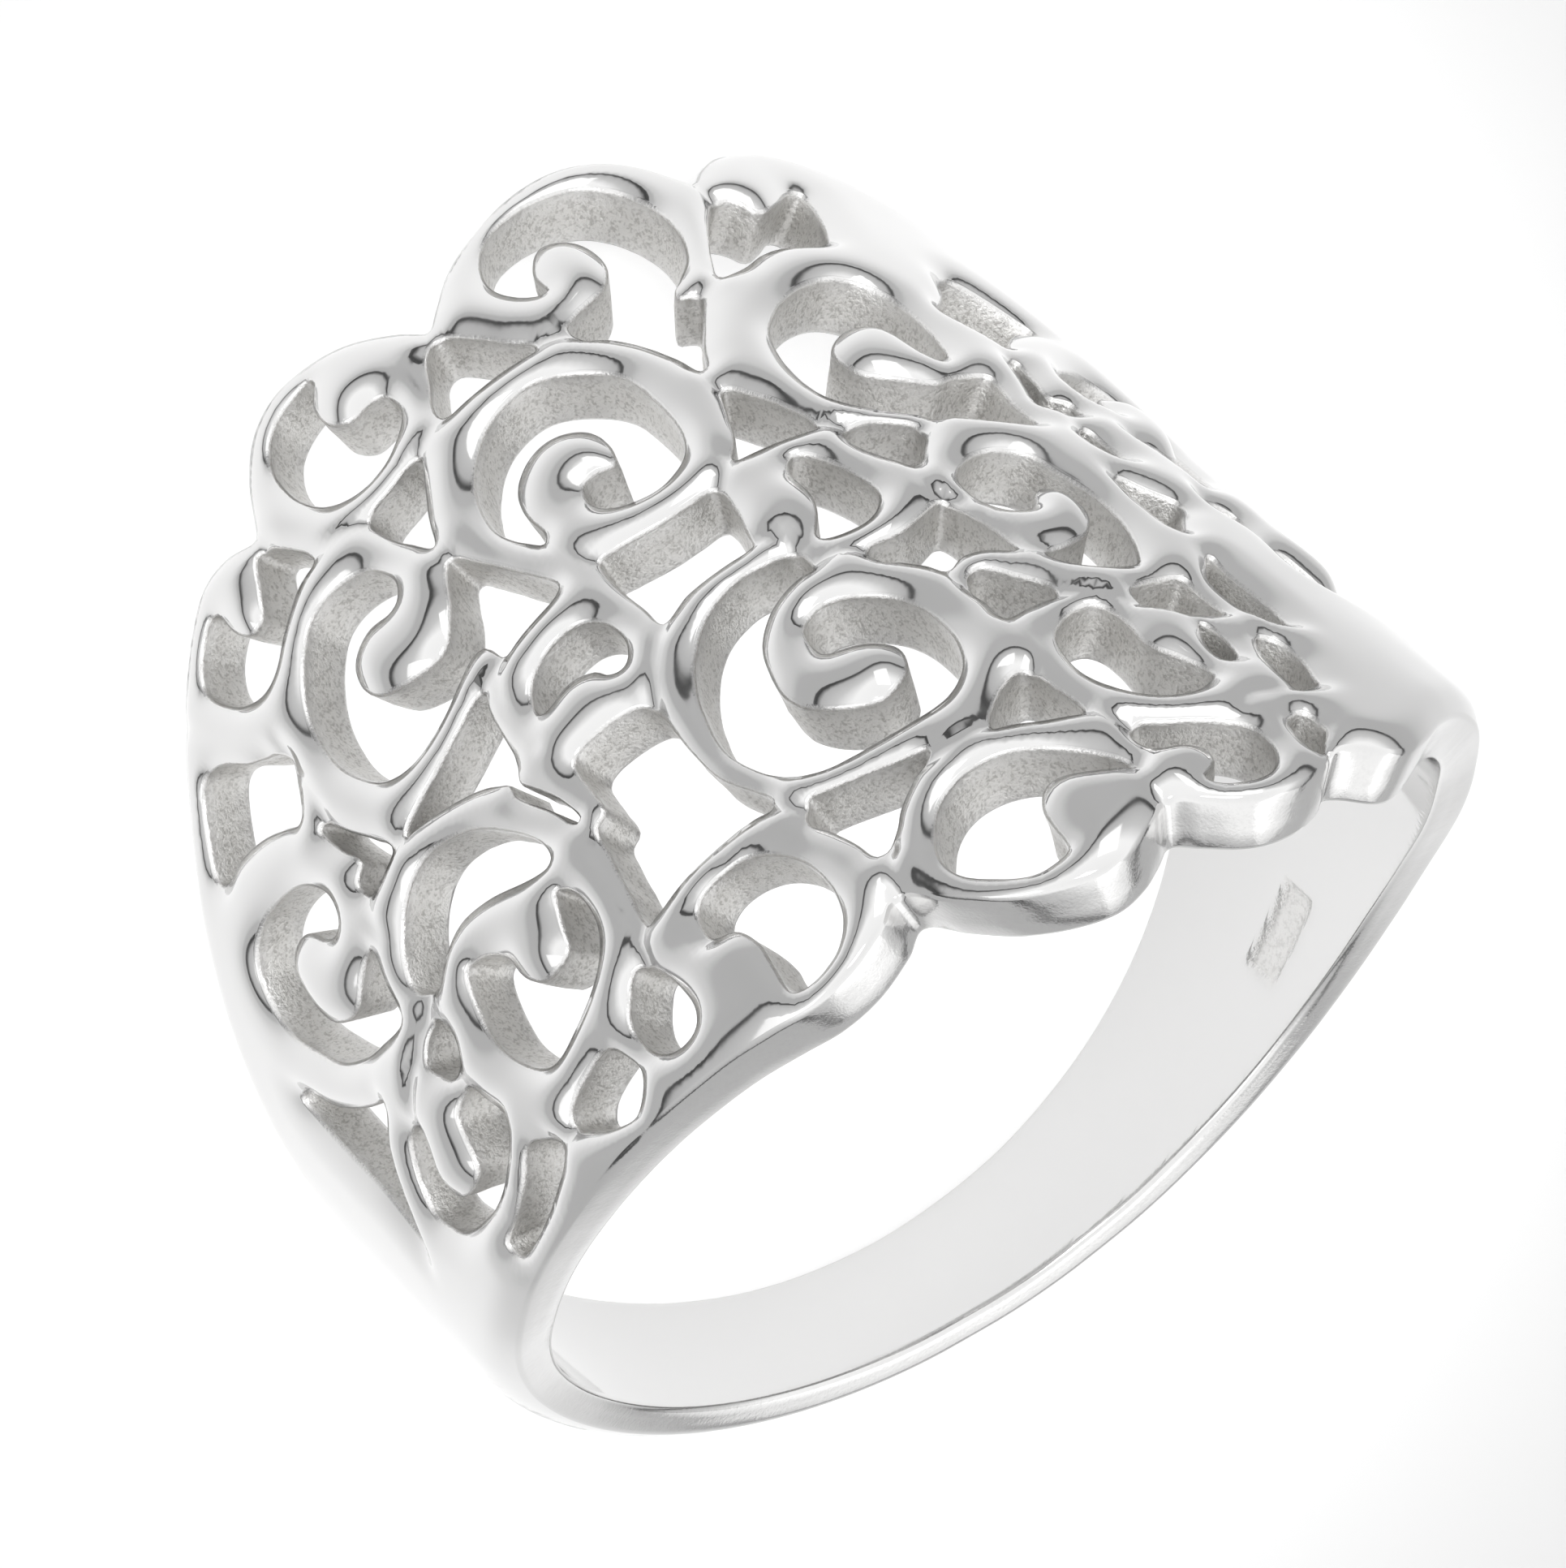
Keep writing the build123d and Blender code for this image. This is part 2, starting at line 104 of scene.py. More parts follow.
# openings between and inside the scrolls, chart mm
openings = {
    "crownTopScroll": [(1.0, 11.0), (1.5, 10.9), (2.1, 10.3), (2.35, 9.8), (2.3, 9.2), (1.8, 8.5),
                       (1.1, 8.15), (0.3, 8.2), (-0.4, 8.6), (-1.0, 9.3), (-1.3, 9.9), (-0.8, 9.65),
                       (-0.2, 9.35), (0.2, 9.4), (0.5, 9.8), (0.6, 10.3), (0.7, 10.9)],
    "crownTopWeb": [(3.05, 8.4), (3.15, 7.8), (3.3, 7.2), (3.45, 6.8), (3.2, 6.4), (3.0, 6.4),
                    (2.3, 6.7), (1.7, 6.95), (1.1, 7.2), (1.6, 7.5), (2.2, 7.9), (2.6, 8.3)],
    "nearLeftScroll": [(5.7, 9.05), (5.2, 9.3), (4.6, 9.2), (4.15, 8.7), (3.95, 7.9), (4.05, 7.1),
                       (4.5, 6.4), (5.2, 6.05), (5.8, 6.15), (6.0, 6.8), (5.6, 7.2), (5.5, 7.8),
                       (5.6, 8.3)],
    "squareSlot": [(6.1, 2.6), (6.25, 2.55), (6.35, 2.0), (6.6, 1.15), (6.45, 1.0), (6.25, 1.5),
                   (6.1, 2.1)],
    "nearLeftOval": [(7.4, 7.7), (7.9, 7.5), (8.2, 7.0), (8.15, 6.4), (7.8, 6.0), (7.3, 5.8),
                     (7.05, 6.3), (7.0, 7.0), (7.1, 7.5)],
    "nearLeftLeaf": [(8.65, 7.1), (9.2, 7.35), (9.7, 7.0), (10.1, 6.5), (10.35, 5.95), (10.0, 5.75),
                     (9.3, 5.85), (8.75, 6.05), (8.6, 6.6)],
    "nearSlot": [(10.85, 5.9), (11.3, 5.95), (12.2, 5.75), (13.2, 5.3), (13.6, 4.95), (13.5, 4.6),
                 (12.8, 4.8), (12.1, 4.9), (11.4, 4.85), (11.0, 5.3)],
    "squareNear": [(3.6, 5.8), (4.4, 5.7), (5.5, 5.5), (6.6, 5.4), (6.45, 4.5), (6.2, 3.6),
                   (6.05, 3.15), (5.7, 3.05), (5.6, 2.5), (5.45, 1.8), (4.8, 1.8), (4.0, 2.1),
                   (3.85, 2.6), (3.95, 3.5), (3.95, 4.5)],
    "middleScroll": [(0.1, 1.4), (0.6, 1.3), (1.2, 1.25), (2.0, 1.5), (2.7, 2.1), (3.2, 2.9),
                     (3.5, 3.9), (3.5, 4.6), (3.25, 5.4), (2.8, 5.95), (2.1, 6.25), (1.0, 6.4),
                     (0.2, 6.35), (-0.4, 5.9), (-0.75, 5.2), (-0.8, 4.4), (-0.6, 3.7), (-0.1, 3.15),
                     (0.5, 2.9), (1.0, 3.1), (1.15, 3.6), (1.1, 3.95), (0.7, 4.1), (0.3, 4.4),
                     (0.1, 4.8), (0.3, 5.3), (0.9, 5.6), (1.4, 5.4), (1.9, 4.9), (2.15, 4.3),
                     (2.1, 3.7), (1.8, 2.9), (1.2, 2.3), (0.5, 2.0), (0.1, 1.95)],
    "smallLeftScroll": [(3.65, 1.15), (3.95, 1.05), (4.1, 0.7), (4.6, 0.45), (5.2, 0.5), (5.25, 0.2),
                        (4.9, -0.25), (4.3, -0.45), (3.7, -0.35), (3.35, 0.1), (3.35, 0.7)],
    "smallRightScroll": [(-1.5, 1.4), (-1.0, 1.55), (-0.4, 1.4), (-0.8, 0.7), (-0.95, 0.2),
                         (-0.95, -0.4), (-1.2, -0.8), (-1.55, -0.6), (-1.85, 0.2), (-1.9, 0.9)],
    "squareMiddle": [(0.6, 0.75), (1.2, 0.75), (2.0, 0.8), (2.65, 1.0), (2.7, 0.4), (2.75, -0.5),
                     (2.65, -1.15), (2.3, -1.1), (1.5, -0.95), (0.8, -0.95), (0.25, -0.95),
                     (0.3, -0.3), (0.45, 0.3)],
    "leftWeb": [(6.4, 0.9), (6.9, 0.35), (7.4, -0.05), (8.0, -0.45), (8.6, -0.8), (8.0, -0.85),
                (7.2, -0.85), (6.4, -0.95), (5.7, -1.05), (5.9, -0.5), (6.05, 0.2), (6.15, 0.6)],
    "rightWeb": [(-2.1, -1.35), (-1.3, -1.35), (-0.45, -1.4), (-0.75, -1.9), (-1.0, -2.55),
                 (-1.3, -3.2), (-1.6, -2.8), (-1.9, -2.2)],
    "lowerScroll": [(3.1, -2.4), (3.4, -2.9), (3.5, -3.5), (3.3, -4.3), (2.8, -5.0), (2.1, -5.5),
                    (1.2, -5.65), (0.5, -5.3), (-0.1, -4.6), (-0.2, -3.7), (-0.1, -2.7), (0.3, -2.0),
                    (1.0, -1.7), (1.7, -1.9), (2.0, -2.3), (1.9, -2.75), (1.5, -2.85), (1.2, -2.75),
                    (1.0, -3.2), (1.05, -3.8), (1.5, -4.2), (2.1, -4.2), (2.7, -3.8), (2.95, -3.2),
                    (2.95, -2.6)],
    "lowerLeftScroll": [(3.45, -1.35), (4.2, -1.2), (4.95, -1.2), (5.05, -1.6), (5.3, -1.75),
                        (6.0, -1.55), (6.6, -1.4), (7.4, -1.45), (8.05, -1.85), (8.4, -2.6),
                        (8.5, -3.4), (8.25, -4.3), (7.7, -5.0), (7.0, -5.45), (6.3, -5.45),
                        (5.6, -5.1), (5.35, -4.5), (5.5, -4.1), (5.8, -3.95), (6.3, -4.15),
                        (6.9, -4.0), (7.15, -3.5), (7.0, -3.0), (6.5, -2.6), (5.9, -2.35),
                        (5.5, -2.4), (5.0, -2.9), (4.7, -3.4), (4.4, -3.7), (4.1, -3.1), (3.8, -2.4)],
    "lowerLeftWeb": [(4.45, -4.25), (4.75, -4.8), (4.9, -5.3), (4.9, -5.85), (4.2, -5.95),
                     (3.5, -6.0), (3.8, -5.4), (4.15, -4.8)],
    "farLeftScroll": [(3.2, -7.0), (3.9, -6.5), (4.6, -6.45), (5.2, -6.8), (5.5, -7.5), (5.5, -8.3),
                      (5.2, -8.9), (4.7, -9.2), (3.95, -9.3), (3.85, -9.1), (4.15, -8.75),
                      (4.2, -8.2), (3.9, -7.8), (3.4, -7.75), (3.1, -7.55)],
    "farWeb": [(0.6, -6.4), (1.6, -6.35), (2.6, -6.3), (2.7, -6.6), (2.4, -7.2), (2.1, -7.75),
               (1.7, -7.95), (1.3, -7.5), (0.9, -6.9)],
    "farLeftLeaf": [(6.1, -6.35), (6.7, -6.2), (7.5, -5.9), (8.0, -5.65), (8.5, -5.65), (9.0, -6.05),
                    (9.3, -6.7), (9.3, -7.15), (8.9, -7.55), (8.3, -7.75), (8.05, -7.6), (8.1, -7.1),
                    (7.9, -6.65), (7.5, -6.6), (7.2, -6.95), (6.85, -7.45), (6.65, -7.5), (6.35, -7.1)],
    "farScroll": [(-1.35, -3.9), (-1.7, -4.5), (-2.1, -5.15), (-2.5, -5.85), (-2.05, -6.05),
                  (-2.4, -6.45), (-2.9, -7.0), (-3.25, -7.8), (-3.3, -8.6), (-2.95, -9.4),
                  (-2.3, -9.85), (-1.3, -9.9), (-0.4, -9.6), (0.15, -9.0), (0.35, -8.3), (0.1, -7.7),
                  (-0.3, -7.45), (-0.4, -8.1), (-0.9, -8.7), (-1.5, -8.4), (-1.6, -7.6),
                  (-1.25, -7.0), (-0.9, -6.8), (-0.4, -6.6), (-0.05, -6.35), (-0.3, -5.9),
                  (-0.8, -5.2), (-1.1, -4.5)],
    "lowerRightScroll": [(-6.0, -0.35), (-5.2, -0.45), (-4.2, -0.85), (-3.4, -1.3), (-2.8, -1.85),
                         (-2.6, -2.6), (-2.7, -3.6), (-3.05, -4.45), (-3.9, -5.25), (-4.9, -5.65),
                         (-5.6, -5.45), (-6.0, -4.8), (-6.0, -3.7), (-5.7, -2.8), (-5.3, -2.7),
                         (-5.1, -3.5), (-4.8, -3.95), (-4.2, -3.85), (-3.65, -3.4), (-3.55, -2.9),
                         (-3.8, -2.35), (-4.8, -1.9), (-5.4, -2.05), (-6.15, -2.05), (-6.1, -1.2)],
    "middleRightWeb": [(-3.0, 0.45), (-2.6, 0.1), (-2.3, -0.6), (-2.4, -1.0), (-2.9, -1.05),
                       (-3.6, -0.75), (-3.65, -0.35), (-3.3, 0.15)],
    "farRightScroll": [(-3.15, -6.3), (-3.35, -6.85), (-3.7, -7.5), (-4.1, -8.15), (-4.5, -8.6),
                       (-4.9, -8.5), (-5.2, -8.15), (-5.8, -8.5), (-6.3, -8.9), (-6.6, -8.8),
                       (-6.4, -8.0), (-6.0, -7.2), (-5.6, -6.85), (-4.8, -6.85), (-4.2, -6.65),
                       (-3.6, -6.3)],
    "middleRightScroll": [(-3.4, 3.9), (-3.9, 4.4), (-4.7, 4.6), (-5.1, 4.2), (-5.5, 3.2),
                          (-5.6, 2.3), (-5.35, 1.4), (-5.1, 0.75), (-4.5, 0.5), (-3.8, 0.7),
                          (-3.35, 1.2), (-3.35, 1.9), (-3.6, 2.4), (-4.0, 2.5), (-4.3, 2.1),
                          (-4.7, 1.8), (-5.0, 2.1), (-5.0, 2.8), (-4.6, 3.4), (-4.0, 3.7)],
    "upperRightWeb": [(-2.9, 5.0), (-2.5, 5.1), (-1.8, 5.1), (-1.75, 4.4), (-1.85, 3.85),
                      (-2.2, 3.75), (-2.55, 4.15), (-2.95, 4.75)],
    "rightTriangle": [(-3.0, 3.6), (-2.6, 3.3), (-2.1, 3.25), (-1.7, 3.45), (-1.4, 3.1), (-1.0, 2.6),
                      (-0.9, 2.15), (-1.6, 2.1), (-2.2, 1.85), (-2.75, 1.6), (-2.9, 2.1), (-3.05, 3.0)],
    "nearRightCurl": [(-3.9, 8.3), (-3.3, 8.55), (-2.6, 8.3), (-2.1, 7.6), (-2.0, 6.9), (-2.2, 6.1),
                      (-2.7, 5.65), (-3.2, 5.55), (-3.45, 5.8), (-3.5, 6.3), (-3.45, 7.0),
                      (-3.8, 7.6), (-4.0, 8.0)],
    "nearRightEye": [(-4.65, 7.85), (-4.45, 7.8), (-4.45, 7.4), (-4.6, 6.95), (-4.8, 6.6),
                     (-4.95, 6.9), (-4.9, 7.5)],
    "nearRightScroll": [(-2.9, 11.25), (-2.3, 11.1), (-2.1, 10.85), (-2.5, 10.5), (-2.6, 10.1),
                        (-2.3, 9.8), (-1.9, 9.75), (-1.75, 9.6), (-1.7, 9.2), (-1.95, 8.95),
                        (-2.4, 9.15), (-3.0, 9.4), (-3.6, 9.8), (-3.7, 10.4), (-3.4, 11.0)],
    "crownRightWeb": [(-1.45, 8.1), (-0.9, 8.0), (-0.35, 7.7), (0.0, 7.45), (-0.5, 6.9),
                      (-1.0, 6.6), (-1.3, 6.7), (-1.4, 7.3)],
    "rightWebTop": [(-5.5, 6.35), (-5.0, 6.3), (-4.45, 6.05), (-4.15, 5.85), (-4.2, 5.35),
                    (-4.7, 5.15), (-5.4, 5.1), (-5.5, 5.6)],
    "nearRightLeaf": [(-5.75, 8.8), (-5.3, 8.9), (-5.3, 8.3), (-5.45, 7.5), (-5.65, 7.15),
                      (-5.95, 7.3), (-6.1, 7.8), (-5.95, 8.4)],
    "nearRightSlot": [(-4.6, 10.7), (-4.3, 10.9), (-4.3, 10.4), (-4.4, 9.9), (-4.8, 9.7),
                      (-4.95, 10.2)],
    "rightSlot": [(-6.6, 6.7), (-6.2, 6.5), (-6.0, 6.0), (-6.0, 5.2), (-6.3, 4.7), (-6.6, 4.3),
                  (-6.7, 5.0), (-6.8, 6.0)],
    "rightLeaf": [(-6.5, 3.5), (-6.4, 2.8), (-6.4, 2.0), (-6.5, 1.5), (-7.0, 1.8), (-7.5, 2.2),
                  (-7.1, 2.8)],
    "rightEye": [(-7.4, 0.5), (-7.0, 0.7), (-6.8, 0.1), (-7.2, -0.4)],
    "leftScrollInner": [(7.2, 4.3), (7.5, 4.75), (8.1, 5.05), (9.0, 5.1), (9.7, 4.95), (10.1, 4.3),
                        (10.25, 3.4), (10.0, 2.6), (9.6, 2.05), (9.15, 2.3), (8.85, 2.9),
                        (8.9, 3.4), (8.7, 3.9), (8.3, 4.1), (7.9, 4.1), (7.6, 3.6), (7.3, 3.2),
                        (7.1, 3.6)],
    "leftScrollOuter": [(7.0, 2.7), (7.5, 2.45), (8.2, 1.85), (9.0, 1.4), (9.8, 1.35), (10.25, 1.5),
                        (10.35, 1.3), (10.7, 0.9), (10.35, 0.35), (9.5, -0.1), (8.6, -0.1),
                        (7.7, 0.5), (7.15, 1.4), (6.9, 2.2)],
}

# openings of the left shoulder, which the right shoulder repeats turned over
shoulderOpenings = {
    "farLeaf": [(9.8, -3.45), (10.2, -3.85), (10.7, -4.35), (11.4, -4.85), (11.95, -5.05),
                (12.2, -5.4), (11.7, -5.85), (10.8, -6.35), (10.25, -6.1), (9.8, -5.4),
                (9.15, -4.6), (9.35, -3.95)],
    "slit": [(8.95, -1.05), (9.5, -0.95), (9.95, -1.15), (9.9, -1.5), (9.55, -1.65), (9.65, -2.2),
             (9.7, -2.8), (9.5, -2.85), (9.3, -2.2), (9.05, -1.5)],
    "farHook": [(11.4, 0.7), (12.1, 0.25), (12.7, -0.25), (13.3, -1.0), (13.6, -1.8), (13.8, -2.8),
                (13.5, -3.55), (12.9, -3.95), (12.1, -3.85), (11.3, -3.4), (10.8, -2.9),
                (10.55, -2.25), (10.7, -1.75), (11.0, -1.65), (11.3, -1.95), (11.6, -2.6),
                (12.3, -2.8), (12.6, -2.2), (12.7, -1.5), (12.4, -0.95), (11.9, -0.65),
                (11.2, -0.7), (10.7, -0.55), (11.05, 0.0), (11.2, 0.45)],
    "nearHook": [(11.25, 4.15), (11.8, 4.35), (12.5, 4.35), (13.3, 4.0), (14.3, 3.1), (14.65, 2.3),
                 (14.6, 1.9), (14.1, 1.5), (13.4, 1.3), (13.0, 1.65), (13.15, 2.1), (13.6, 2.35),
                 (13.7, 2.8), (13.4, 3.25), (12.9, 3.5), (12.6, 3.45), (12.3, 3.05), (12.0, 2.75),
                 (11.4, 2.9), (11.3, 3.5)],
    "hookEye": [(11.15, 2.55), (11.55, 2.4), (11.7, 2.0), (11.75, 1.6), (11.4, 1.4), (10.9, 1.5),
                (10.75, 1.9), (10.85, 2.3)],
    "longLeaf": [(13.2, 0.5), (13.9, 0.5), (14.7, 0.85), (15.4, 1.35), (15.7, 1.5), (15.6, 0.8),
                 (15.45, 0.0), (15.4, -0.9), (15.3, -2.0), (15.1, -2.55), (14.8, -2.3),
                 (14.5, -1.4), (14.05, -0.6), (13.6, 0.0)],
}
turnOver = 2.3             # the right shoulder repeats the left one about half this place

# grooves where one scroll lies against the next: depth, then the line it follows
grooves = [
    (0.16, [(3.35, 9.4), (3.15, 8.95), (2.8, 8.55)]),
    (0.12, [(-0.15, 7.5), (0.5, 7.48), (1.25, 7.5)]),
    (0.16, [(3.35, 6.35), (3.6, 6.05), (3.75, 5.7)]),
    (0.07, [(5.95, 7.0), (6.25, 6.75), (6.35, 6.4), (6.1, 6.1), (5.5, 5.9), (4.9, 5.95)]),
    (0.14, [(7.05, 5.9), (6.9, 5.65), (6.7, 5.4)]),
    (0.14, [(6.95, 5.5), (6.72, 5.0), (6.5, 4.3), (6.35, 3.6), (6.25, 3.0), (6.15, 2.6)]),
    (0.14, [(2.75, 1.15), (3.1, 1.45), (3.45, 1.85), (3.85, 2.4)]),
    (0.12, [(5.7, 1.0), (5.7, 0.4), (5.65, -0.2), (5.45, -0.7), (5.1, -1.0)]),
    (0.14, [(2.7, -1.25), (2.93, -1.75), (3.05, -2.2), (3.1, -2.5)]),
    (0.13, [(0.2, -1.0), (-0.15, -1.25), (-0.45, -1.45)]),
    (0.13, [(-2.65, -1.0), (-2.35, -1.25), (-2.1, -1.45)]),
    (0.14, [(-1.3, -3.15), (-1.25, -3.55), (-1.3, -4.0)]),
    (0.13, [(-2.5, -5.9), (-2.85, -6.05), (-3.15, -6.3)]),
    (0.13, [(-0.35, -5.9), (0.1, -6.15), (0.65, -6.4)]),
    (0.12, [(2.65, -6.25), (3.0, -6.15), (3.55, -6.05)]),
    (0.13, [(4.9, -5.85), (5.25, -5.98), (5.7, -6.1), (6.1, -6.3)]),
    (0.14, [(4.4, -3.65), (4.42, -4.0), (4.45, -4.3)]),
    (0.14, [(4.9, -1.2), (5.3, -1.13), (5.75, -1.05)]),
    (0.15, [(9.35, -2.9), (9.2, -3.4), (9.05, -4.1), (8.95, -4.7)]),
    (0.12, [(8.6, -0.85), (8.85, -0.95), (9.1, -1.05)]),
    (0.14, [(6.55, -7.4), (6.57, -7.9)]),
    (0.14, [(1.7, -7.9), (1.75, -8.4)]),
    (0.15, [(-1.3, 11.2), (-1.2, 10.7), (-1.25, 10.2), (-1.45, 9.8)]),
    (0.14, [(-1.85, 9.0), (-1.6, 8.5), (-1.45, 8.1)]),
    (0.14, [(-1.35, 6.65), (-1.6, 6.2), (-1.75, 5.7), (-1.8, 5.1)]),
    (0.13, [(-3.95, 5.9), (-3.7, 5.45), (-3.35, 5.2), (-2.95, 5.05)]),
    (0.13, [(-1.75, 4.35), (-1.62, 3.9), (-1.65, 3.5)]),
    (0.14, [(-0.95, 2.6), (-0.85, 2.25), (-0.4, 2.0), (0.1, 1.9)]),
    (0.14, [(-3.05, 1.8), (-2.8, 1.5), (-2.72, 1.1), (-2.9, 0.5)]),
    (0.13, [(-4.25, -0.85), (-3.9, -0.58), (-3.6, -0.5)]),
    (0.18, [(0.15, 1.4), (0.08, 1.0), (0.35, 0.75)]),
    (0.13, [(-3.75, 9.35), (-4.05, 9.15), (-4.6, 9.1), (-5.2, 9.0)]),
    (0.13, [(-4.5, -8.6), (-4.4, -9.0), (-4.35, -9.4)]),
    (0.22, [(10.35, 1.1), (10.8, 1.28), (11.4, 1.15), (11.9, 1.3), (12.5, 1.5)]),
    (0.13, [(10.3, 6.0), (10.65, 5.75), (10.95, 5.3)]),
    (0.10, [(10.3, -0.3), (10.1, -0.75), (9.9, -1.15)]),
    (0.10, [(9.3, -5.0), (9.55, -5.7), (9.9, -6.5), (10.1, -7.2)]),
]

# rounded ends of the scrolls: place on the chart and size
heads = [(0.7, 4.7, 0.6), (1.9, -3.4, 0.75), (6.2, -3.2, 0.75), (8.0, 3.1, 0.75), (-4.3, -3.1, 0.7),
         (-4.6, 2.7, 0.6), (4.4, 1.2, 0.7), (-0.3, 0.3, 0.6), (6.3, 7.4, 0.7), (0.0, 10.2, 0.8),
         (-1.9, 10.4, 0.5), (-0.7, -7.7, 0.7), (3.4, -8.3, 0.7), (-3.1, 7.0, 0.6), (-5.3, -9.2, 0.8),
         (12.0, -1.7, 0.6), (12.8, 2.5, 0.6), (-9.7, -1.7, 0.6), (-10.5, 2.5, 0.6)]


def smoothStep(low, high, x):
    # cubic ease from 0 at low to 1 at high
    t = np.clip((x - low) / (high - low), 0, 1)
    return t * t * (3 - 2 * t)


def throughPoints(points, closed, per=8):
    # Catmull-Rom curve through the points, per steps between neighbours
    p = np.array(points, float)
    if closed:
        a, b, c, d = np.roll(p, 1, 0), p, np.roll(p, -1, 0), np.roll(p, -2, 0)
    else:
        q = np.vstack([2 * p[0] - p[1], p, 2 * p[-1] - p[-2]])
        a, b, c, d = q[:-3], q[1:-2], q[2:-1], q[3:]
    t = (np.arange(per) / per)[None, :, None]
    a, b, c, d = (k[:, None, :] for k in (a, b, c, d))
    curve = 0.5 * (2 * b + (c - a) * t + (2 * a - 5 * b + 4 * c - d) * t ** 2
                   + (3 * b - a - 3 * c + d) * t ** 3)
    curve = curve.reshape(-1, 2)
    return curve if closed else np.vstack([curve, p[-1]])


def distanceTo(start, end, x, y):
    # distance from each place (x, y) to the nearest of the straight pieces start-end
    along = end - start
    lengthSq = (along ** 2).sum(1) + 1e-12
    t = (x[..., None] - start[:, 0]) * along[:, 0] + (y[..., None] - start[:, 1]) * along[:, 1]
    t = np.clip(t / lengthSq, 0, 1)
    dx = x[..., None] - start[:, 0] - t * along[:, 0]
    dy = y[..., None] - start[:, 1] - t * along[:, 1]
    return np.sqrt((dx ** 2 + dy ** 2).min(-1))


def insideOf(start, end, x, y):
    # even-odd rule: a place is inside when a line from it crosses the outline an odd number of times
    y0, y1 = start[:, 1], end[:, 1]
    spans = (y0 <= y[..., None]) != (y1 <= y[..., None])
    slope = (end[:, 0] - start[:, 0]) / np.where(y1 == y0, 1e-12, y1 - y0)
    hits = spans & (x[..., None] < start[:, 0] + (y[..., None] - y0) * slope)
    return hits.sum(-1) % 2 == 1


def latticeNoise(p, cell, seed):
    # random values on a cubic lattice, blended smoothly between lattice points, -1 to 1
    q = p / cell
    base = np.floor(q).astype(np.int64)
    f = q - base
    f = f * f * (3 - 2 * f)
    total = 0.0
    for dx in (0, 1):
        for dy in (0, 1):
            for dz in (0, 1):
                n = ((base[..., 0] + dx) * 73856093) ^ ((base[..., 1] + dy) * 19349663)
                n = (n ^ ((base[..., 2] + dz) * 83492791) ^ (seed * 2654435761)) & 0x7fffffff
                n = (n * 1103515245 + 12345) & 0x7fffffff
                n = ((n >> 7) * 69069 + 1) & 0xffffff
                weight = ((f[..., 0] if dx else 1 - f[..., 0]) * (f[..., 1] if dy else 1 - f[..., 1])
                          * (f[..., 2] if dz else 1 - f[..., 2]))
                total = total + weight * (n / 0x7fffff - 1)
    return total


def blurred(field, sigma):
    # bell-shaped blur, sigma in grid cells, wrapping round the ring along the first axis
    reach = int(3 * sigma) + 1
    k = np.arange(-reach, reach + 1)
    weight = np.exp(-0.5 * (k / sigma) ** 2)
    weight = weight / weight.sum()
    field = sum(w * np.roll(field, s, 0) for s, w in zip(k, weight))
    padded = np.pad(field, ((0, 0), (reach, reach)), mode="edge")
    return sum(w * padded[:, reach + s:reach + s + field.shape[1]] for s, w in zip(k, weight))


def shortWay(du, girth):
    # the same step round the ring, taken the short way
    return (du + girth / 2) % girth - girth / 2


def boreAt(angle):
    # radius of the finger hole seen from the middle of the outside: c cos a + sqrt(b^2 - c^2 sin^2 a)
    b, c = ring["bore"], ring["boreShift"]
    return c * np.cos(angle) + np.sqrt(b ** 2 - (c * np.sin(angle)) ** 2)


def buildChart():
    # grid over the unrolled ring, spaced finely on the openwork and the recess, widely on the band
    girth = 2 * math.pi * ring["chartRadius"]
    dense = np.linspace(-girth / 2, girth / 2, 4001)
    coarse = smoothStep(*ring["bandFrom"], np.abs(dense + 0.3))
    coarse = coarse * smoothStep(*ring["recessGap"], np.abs(dense - recess["u"]))
    step = ring["step"] + (ring["bandStep"] - ring["step"]) * coarse
    count = np.concatenate([[0], np.cumsum(0.5 / step[1:] + 0.5 / step[:-1]) * (dense[1] - dense[0])])
    number = int(math.ceil(count[-1]))
    u = np.interp(np.arange(number) * count[-1] / number, count, dense)
    return {"u": u, "y": np.arange(*ring["along"], ring["step"]), "girth": girth}


def partNear(chart, points, pad):
    # the part of the grid within pad of the points
    low, high = points.min(0) - pad, points.max(0) + pad
    i0, i1 = np.searchsorted(chart["u"], (low[0], high[0]))
    j0, j1 = np.searchsorted(chart["y"], (low[1], high[1]))
    return slice(i0, i1), slice(j0, j1)


